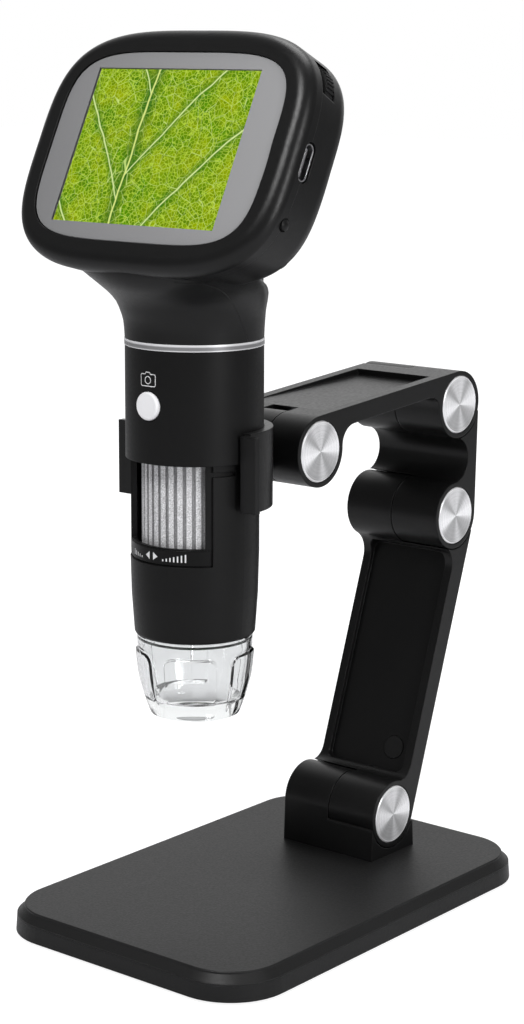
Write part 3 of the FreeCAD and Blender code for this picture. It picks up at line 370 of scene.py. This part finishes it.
def piece(name, points, faces, paint, body, origin=None, smooth=35.0):
    mesh = bpy.data.meshes.new(name)
    origin = Vector(origin) if origin is not None else Vector((0, 0, 0))
    mesh.from_pydata([tuple(Vector(p) - origin) for p in points], [], faces)
    mesh.validate()
    mesh.materials.append(paint)
    made = bpy.data.objects.new(name, mesh)
    bpy.context.scene.collection.objects.link(made)
    made.location = origin
    soften(made, smooth)
    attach(made, body)
    return made


def soften(made, angle):
    mesh = made.data
    mesh.shade_smooth()
    mesh.set_sharp_from_angle(angle=math.radians(angle))


def even_shading(made, angle):
    """Smooth light over faces that meet gently, sharp edges kept."""
    weld = made.modifiers.new("weld", "WELD")
    weld.merge_threshold = 0.000001
    split = made.modifiers.new("split", "EDGE_SPLIT")
    split.split_angle = math.radians(angle)
    split.use_edge_sharp = False
    made.modifiers.new("weighted", "WEIGHTED_NORMAL")


def solid_turned(profile, steps, place):
    """Profile that starts and ends on the axis, turned right round."""
    inner = profile[1:-1]
    points = []
    faces = []
    count = len(inner)
    for i in range(steps):
        turn = FULL_TURN * i / steps
        here, ahead = i * count, (i + 1) % steps * count
        for j, (reach, height) in enumerate(inner):
            points.append(place(reach, height, turn))
            if j + 1 < count:
                faces.append((here + j, ahead + j, ahead + j + 1, here + j + 1))
    first = len(points)
    points.append(place(profile[0][0], profile[0][1], 0))
    points.append(place(profile[-1][0], profile[-1][1], 0))
    for i in range(steps):
        ahead = (i + 1) % steps
        faces.append((first, ahead * count, i * count))
        faces.append((first + 1, i * count + count - 1, ahead * count + count - 1))
    return points, faces


# Turned metal discs in the barrel ends

disc_thick = 1.2
disc_dish = 6.85
disc_radius = 7.6
dish_height = 1.14
dish_bulge = 0.05
disc_profile = [(0, 0), (disc_radius, 0), (disc_radius, 0.85), (7.3, 1.17), (7.22, disc_thick)]
disc_profile += [(7.0, 1.16), (disc_dish, dish_height)]
for reach in (5.5, 4.0, 2.5, 1.0):
    disc_profile.append((reach, dish_height + dish_bulge * (1 - reach / disc_dish)))
disc_profile.append((0, dish_height + dish_bulge))


def disc(name, centre, side, body, node):
    back = abs(disc_face) - disc_thick * MM

    def place(reach, height, turn):
        x = side * (back + height * MM)
        return (x, centre.y + reach * MM * math.cos(turn), centre.z + reach * MM * math.sin(turn))

    points, faces = solid_turned(disc_profile, 128, place)
    if side < 0:
        faces = [tuple(reversed(f)) for f in faces]
    origin = (side * (back + disc_thick / 2 * MM), centre.y, centre.z)
    made = piece(name, points, faces, disc_metal, body, origin, 25.0)
    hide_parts(node)


disc("disc_post_left", post_hinge, -1, "stand", "post_cap")
disc("disc_lower_arm_low", post_hinge, 1, "lower_link", "lower_arm_caps")
disc("disc_lower_arm_high", lower_hinge, -1, "lower_link", "lower_arm_caps")
disc("disc_middle_low", lower_hinge, 1, "middle_bracket", "middle_link_caps")
disc("disc_middle_high", middle_hinge, -1, "middle_bracket", "middle_link_caps")
disc("disc_upper_back", middle_hinge, 1, "upper_link", "upper_arm_caps")
disc("disc_upper_front_right", upper_hinge, 1, "upper_link", "upper_arm_caps")
disc("disc_upper_front_left", upper_hinge, -1, "upper_link", "upper_arm_caps")


# Clear cap under the tube: a turned wall with raised arched panels

cap_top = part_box("clear_cap")[1].z / MM
cap_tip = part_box("clear_cap")[0].z / MM
panel_count = 5
panel_half = math.radians(27)
panel_first = math.radians(-54)
panel_top = 73.8
panel_corner = 2.2
panel_edge = 0.55
panel_height = 0.5
step_height = 77.8
wall_foot = cap_tip + 0.25
wall_head = step_height - 0.2
wall_thick = 1.25
tip_radius = 10.7
wall_swell = 3.3
swell_power = 0.8
panel_radius = 13.0
fade_foot = 1.5
fade_run = 8.0


def cap_outer(z):
    """Outer radius of the cap at a height, in millimetres."""
    t = (z - cap_tip) / (step_height - cap_tip)
    return tip_radius + wall_swell * math.sin(math.pi / 2 * min(1.0, max(0.0, t)) ** swell_power)


def panel_raise(turn, z):
    """How far a raised panel stands out, fading away to the tip."""
    step = FULL_TURN / panel_count
    off = (turn - panel_first + step / 2) % step - step / 2
    beside = (panel_half - abs(off)) * panel_radius
    above = panel_top - z
    if beside < panel_corner and above < panel_corner:
        inside = panel_corner - math.hypot(panel_corner - beside, panel_corner - above)
    else:
        inside = min(beside, above)
    rise = min(1.0, max(0.0, inside / panel_edge + 0.5))
    rise = rise * rise * (3 - 2 * rise)
    fade = min(1.0, max(0.0, (z - cap_tip - fade_foot) / fade_run))
    return panel_height * rise * fade


def clear_cap():
    steps = 360
    rows = 64
    heights = [wall_foot + (wall_head - wall_foot) * i / (rows - 1) for i in range(rows)]
    profile = [(r, z, 0.0) for r, z in ((8.5, cap_tip + 0.1), (9.0, cap_tip), (10.2, cap_tip))]
    profile += [(cap_outer(z), z, 1.0) for z in heights]
    profile += [(13.7, step_height, 0.0), (12.75, step_height, 0.0), (12.75, cap_top - 0.2, 0.0)]
    profile += [(12.55, cap_top, 0.0), (11.8, cap_top, 0.0), (11.7, 76.8, 0.0), (12.45, 76.6, 0.0)]
    inner = [z for z in heights[::-1] if 62.4 < z < 76.4]
    profile += [(cap_outer(z) - wall_thick, z, 0.0) for z in inner]
    profile += [(8.95, 62.1, 0.0), (8.7, 61.9, 0.0), (8.4, cap_tip + 0.5, 0.0)]
    points = []
    faces = []
    count = len(profile)
    for i in range(steps):
        turn = FULL_TURN * i / steps
        here, ahead = i * count, (i + 1) % steps * count
        for j, (reach, z, raised) in enumerate(profile):
            r = (reach + (panel_raise(turn, z) if raised else 0.0)) * MM
            points.append((r * math.cos(turn), tube.y + r * math.sin(turn), z * MM))
            up = (j + 1) % count
            faces.append((here + j, ahead + j, ahead + up, here + up))
    origin = (0, tube.y, cap_tip * MM)
    made = piece("clear_cap_shell", points, faces, hood_clear, "microscope", origin, 40.0)
    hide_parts("clear_cap")


clear_cap()


# Screen window: a smooth plate with soft corners

window_half = (33.3, 23.5)
window_corner = 4.6


def soft_outline(half_w, half_h, power, steps):
    points = []
    for i in range(steps):
        turn = FULL_TURN * i / steps
        c, s = math.cos(turn), math.sin(turn)
        x = half_w * math.copysign(abs(c) ** (2 / power), c)
        y = half_h * math.copysign(abs(s) ** (2 / power), s)
        points.append((x * MM, y * MM))
    return points


def face_point(across, up, out):
    return head_centre + Vector((across, 0, 0)) + head_up * up + head_out * out


def screen_window():
    rings = [(0.0, -0.9), (0.0, -0.42), (0.08, -0.33), (0.2, -0.3)]
    steps = 240
    points = []
    faces = []
    for inset, out in rings:
        half_w, half_h = window_half[0] - inset, window_half[1] - inset
        for x, y in soft_outline(half_w, half_h, window_corner, steps):
            points.append(face_point(x, y, out * MM))
    last = (len(rings) - 1) * steps
    for first in range(0, last, steps):
        above = first + steps
        for i in range(steps):
            ahead = (i + 1) % steps
            faces.append((first + i, first + ahead, above + ahead, above + i))
    faces.append(tuple(last + i for i in range(steps)))
    faces.append(tuple(reversed(range(steps))))
    made = piece("screen_plate", points, faces, window_plate(), "microscope", None, 20.0)
    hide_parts("screen_window")


screen_window()


# Marks printed on the tube

front = math.radians(-90)
strip_middle = math.radians(-92)
strip_skin = 15.08 * MM
ink_thick = 0.02 * MM
longest_step = 0.35
camera_height = 140.8
camera_line = 0.19
arrow_height = 98.9
bar_gap = 0.95
bar_half = 0.17
bar_foot = arrow_height - 0.95
bar_growth = 0.24


def on_tube(reach, across, z, turn):
    """Point on the tube's skin, a distance across from a direction round the tube."""
    angle = turn + across * MM / reach
    return (reach * math.cos(angle), tube.y + reach * math.sin(angle), z * MM)


def short_steps(outline, closed):
    """Same line with long stretches cut up, so that it can follow the tube's curve."""
    points = []
    for i, (x, y) in enumerate(outline):
        points.append((x, y))
        if closed or i + 1 < len(outline):
            ahead = outline[(i + 1) % len(outline)]
            steps = int(math.hypot(ahead[0] - x, ahead[1] - y) / longest_step)
            points += [
                (x + (ahead[0] - x) * k / (steps + 1), y + (ahead[1] - y) * k / (steps + 1))
                for k in range(1, steps + 1)
            ]
    return points


def ribbon(outline, width, closed=True):
    """Flat band of quads along a line of (across, up) points."""
    outline = short_steps(outline, closed)
    count = len(outline)
    sides = []
    for i, (x, y) in enumerate(outline):
        before = outline[i - 1] if closed or i > 0 else outline[i]
        after = outline[(i + 1) % count] if closed or i + 1 < count else outline[i]
        dx, dy = after[0] - before[0], after[1] - before[1]
        size = math.hypot(dx, dy)
        nx, ny = -dy / size * width / 2, dx / size * width / 2
        sides.append(((x + nx, y + ny), (x - nx, y - ny)))
    quads = []
    for i in range(count if closed else count - 1):
        a, b = sides[i], sides[(i + 1) % count]
        quads.append((a[0], a[1], b[1], b[0]))
    return quads


def printed(name, quads, reach, turn, body="microscope"):
    points = []
    faces = []
    for quad in quads:
        first = len(points)
        points += [on_tube(reach, x, z, turn) for x, z in quad]
        faces.append(tuple(range(first, first + len(quad))))
    return piece(name, points, faces, ink, body, (0, tube.y, quads[0][0][1] * MM))


def rounded_box(x, y, half_w, half_h, corner, steps=5):
    points = []
    for sx, sy, start in ((1, -1, -90), (1, 1, 0), (-1, 1, 90), (-1, -1, 180)):
        for k in range(steps + 1):
            turn = math.radians(start + 90 * k / steps)
            px = x + sx * (half_w - corner) + corner * math.cos(turn)
            py = y + sy * (half_h - corner) + corner * math.sin(turn)
            points.append((px, py))
    return points


def camera_sign():
    """Plain outline of a camera: body, hump and round lens."""
    base = camera_height
    half_w, half_h = 2.2, 1.4
    roof = base + half_h
    hump_top = base + 1.85
    lens_radius = 0.85
    body = rounded_box(0, base, half_w, half_h, 0.4)
    hump = [(0.8, roof), (0.55, hump_top), (-0.55, hump_top), (-0.8, roof)]
    left = [spot for spot in body if spot[0] < 0]
    outline = [spot for spot in body if spot[0] > 0] + hump + left
    turns = [t * math.pi / 14 for t in range(28)]
    lens = [(lens_radius * math.cos(t), base + lens_radius * math.sin(t)) for t in turns]
    quads = ribbon(outline, camera_line) + ribbon(lens, camera_line)
    printed("camera_sign", quads, tube_radius + ink_thick, front)


def bar(x, tall):
    """Upright bar that stands on the strip's foot line."""
    left, right, top = x - bar_half, x + bar_half, bar_foot + tall
    return ((left, bar_foot), (right, bar_foot), (right, top), (left, top))


def focus_marks():
    """Two arrows and a row of growing bars on the strip under the wheel."""
    z = arrow_height
    tip, tail, half = 1.9, 0.55, 0.95
    first_bar = 3.4
    quads = [((-tip, z), (-tail, z - half), (-tail, z + half))]
    quads.append(((tip, z), (tail, z + half), (tail, z - half)))
    quads += [bar(first_bar + k * bar_gap, 0.5 + bar_growth * k) for k in range(7)]
    quads += [bar(-first_bar - k * bar_gap, 1.9 - bar_growth * (6 - k)) for k in range(5)]
    printed("focus_marks", quads, strip_skin, strip_middle)


camera_sign()
focus_marks()


# Paint on the CAD nodes

paints = {
    "base_tray": base_black, "base_cover": base_black, "base_weight": steel, "base_feet": rubber,
    "base_screws": steel, "post": arm_black, "post_screws": steel, "lower_arm": arm_black,
    "lower_arm_plug": rubber, "middle_link": arm_black, "upper_arm": arm_black,
    "clamp_bracket": arm_black, "trim_ring": ring_metal(), "upper_tube": tube_black,
    "shutter_button": white_plastic, "shutter_board": circuit, "sensor_board": circuit,
    "lower_sleeve": tube_black, "scale_strip": strip_black, "focus_wheel": wheel_paint,
    "lens_barrel": arm_black, "lens_glass": glass_clear, "led_board": circuit,
    "led_lamps": lamp_resin, "front_shell": shell_black, "rear_shell": shell_black,
    "head_screws": steel, "lcd_panel": leaf_screen(), "main_board": circuit,
    "battery": cell_foil, "usb_port": steel, "brightness_dial": rubber,
    "side_key": shell_black, "ribbon_cable": film,
}
for place in ("post", "lower", "middle", "upper"):
    for thing in ("pin", "nut", "washer"):
        paints[place + "_" + thing] = steel
for name, thing in cad.items():
    if name in paints:
        thing.data.materials.clear()
        thing.data.materials.append(paints[name])
        soften(thing, 30.0)
    if name in ("front_shell", "rear_shell"):
        even_shading(thing, 24.0)


# Floor and lights

def pale_floor():
    """White to the eye, with the object's faint shadow near it; a softer white to other rays."""
    made, tree = blank("floor_pale")
    spot = add(tree, "TexCoord").outputs["Object"]
    mottle = add(tree, "TexNoise", {"Vector": spot, "Scale": 60.0, "Detail": 4.0}).outputs["Fac"]
    tone = blend_colours(tree, mottle, grey(0.58), grey(0.6))
    matt = add(tree, "BsdfPrincipled", {"Base Color": tone, "Roughness": 0.9}).outputs[0]
    thin = blend_colours(tree, mottle, grey(0.24), grey(0.25))
    veil = add(tree, "BsdfDiffuse", {"Color": thin}).outputs[0]
    reach = add(tree, "VectorMath", {0: spot}, operation="LENGTH").outputs["Value"]
    strength = ranged(tree, reach, 0.88, 1.0, 0.12, 0.4)
    glow = add(tree, "Emission", {"Color": WHITE, "Strength": strength})
    lit = add(tree, "AddShader", {0: veil, 1: glow.outputs[0]}).outputs[0]
    seen = add(tree, "LightPath").outputs["Is Camera Ray"]
    close(tree, add(tree, "MixShader", {0: seen, 1: matt, 2: lit}).outputs[0])
    return made


floor_half = 4
floor_drop = 0.2 * MM
floor_mesh = bpy.data.meshes.new("floor")
corners = [(x * floor_half, y * floor_half, 0) for x, y in ((-1, -1), (1, -1), (1, 1), (-1, 1))]
floor_mesh.from_pydata(corners, [], [(0, 1, 2, 3)])
floor_mesh.materials.append(pale_floor())
floor = bpy.data.objects.new("floor", floor_mesh)
floor.location = (0, 0, -floor_drop)
bpy.context.scene.collection.objects.link(floor)

world = bpy.data.worlds.new("studio")
bpy.context.scene.world = world
world.use_nodes = True
tree = world.node_tree
tree.nodes.clear()
ray = add(tree, "LightPath")
seen = maths(tree, "MAXIMUM", ray.outputs["Is Camera Ray"], ray.outputs["Is Transmission Ray"])
way = add(tree, "TexCoord").outputs["Generated"]
bright_side = (-0.55, 0.75, 0.36)
towards = add(tree, "VectorMath", {0: way, 1: bright_side}, operation="DOT_PRODUCT").outputs["Value"]
level = ranged(tree, towards, 0.22, 1.0, 0.6, 0.93)
soft = add(tree, "Background", {"Color": WHITE, "Strength": level}).outputs[0]
bright = add(tree, "Background", {"Color": WHITE, "Strength": 1.0}).outputs[0]
both = add(tree, "MixShader", {0: seen, 1: soft, 2: bright}).outputs[0]
out = tree.nodes.new("ShaderNodeOutputWorld")
tree.links.new(both, out.inputs["Surface"])


def lamp(name, place, aim, width, height, power):
    data = bpy.data.lights.new(name, "AREA")
    data.shape = "RECTANGLE"
    data.size = width
    data.size_y = height
    data.energy = power
    made = bpy.data.objects.new(name, data)
    made.location = place
    made.rotation_mode = "QUATERNION"
    made.rotation_quaternion = (Vector(aim) - Vector(place)).to_track_quat("-Z", "Y")
    made.visible_camera = False
    bpy.context.scene.collection.objects.link(made)


lamp("key_front", (0.1, -0.65, 0.95), (0, 0, 0.12), 0.4, 0.3, 9.0)
lamp("fill_right", (0.85, -0.15, 0.4), (0, 0, 0.12), 0.25, 0.5, 4.5)
lamp("top", (-0.1, 0.35, 0.95), (0, 0, 0.1), 0.6, 0.5, 5.0)

# Camera, as solved from the photograph

camera_place = (0.35656, -0.43977, 0.21752)
turn = math.radians(39.302)
drop = math.radians(11.482)
lean = math.radians(0.243)
focal_pixels = 2311.9
photo_height = 1024
sensor = 36.0
back = Vector((math.sin(turn) * math.cos(drop), -math.cos(turn) * math.cos(drop), math.sin(drop)))
right = Vector((math.cos(turn), math.sin(turn), 0))
up = back.cross(right)
side = right * math.cos(lean) + up * math.sin(lean)
top = up * math.cos(lean) - right * math.sin(lean)
data = bpy.data.cameras.new("camera")
data.sensor_width = sensor
data.lens = sensor * focal_pixels / photo_height
data.clip_start = 0.01
data.clip_end = 20.0
camera = bpy.data.objects.new("camera", data)
camera.matrix_world = Matrix((
    (side.x, top.x, back.x, camera_place[0]),
    (side.y, top.y, back.y, camera_place[1]),
    (side.z, top.z, back.z, camera_place[2]),
    (0, 0, 0, 1),
))
bpy.context.scene.collection.objects.link(camera)
bpy.context.scene.camera = camera
bpy.context.scene.view_settings.view_transform = "Standard"
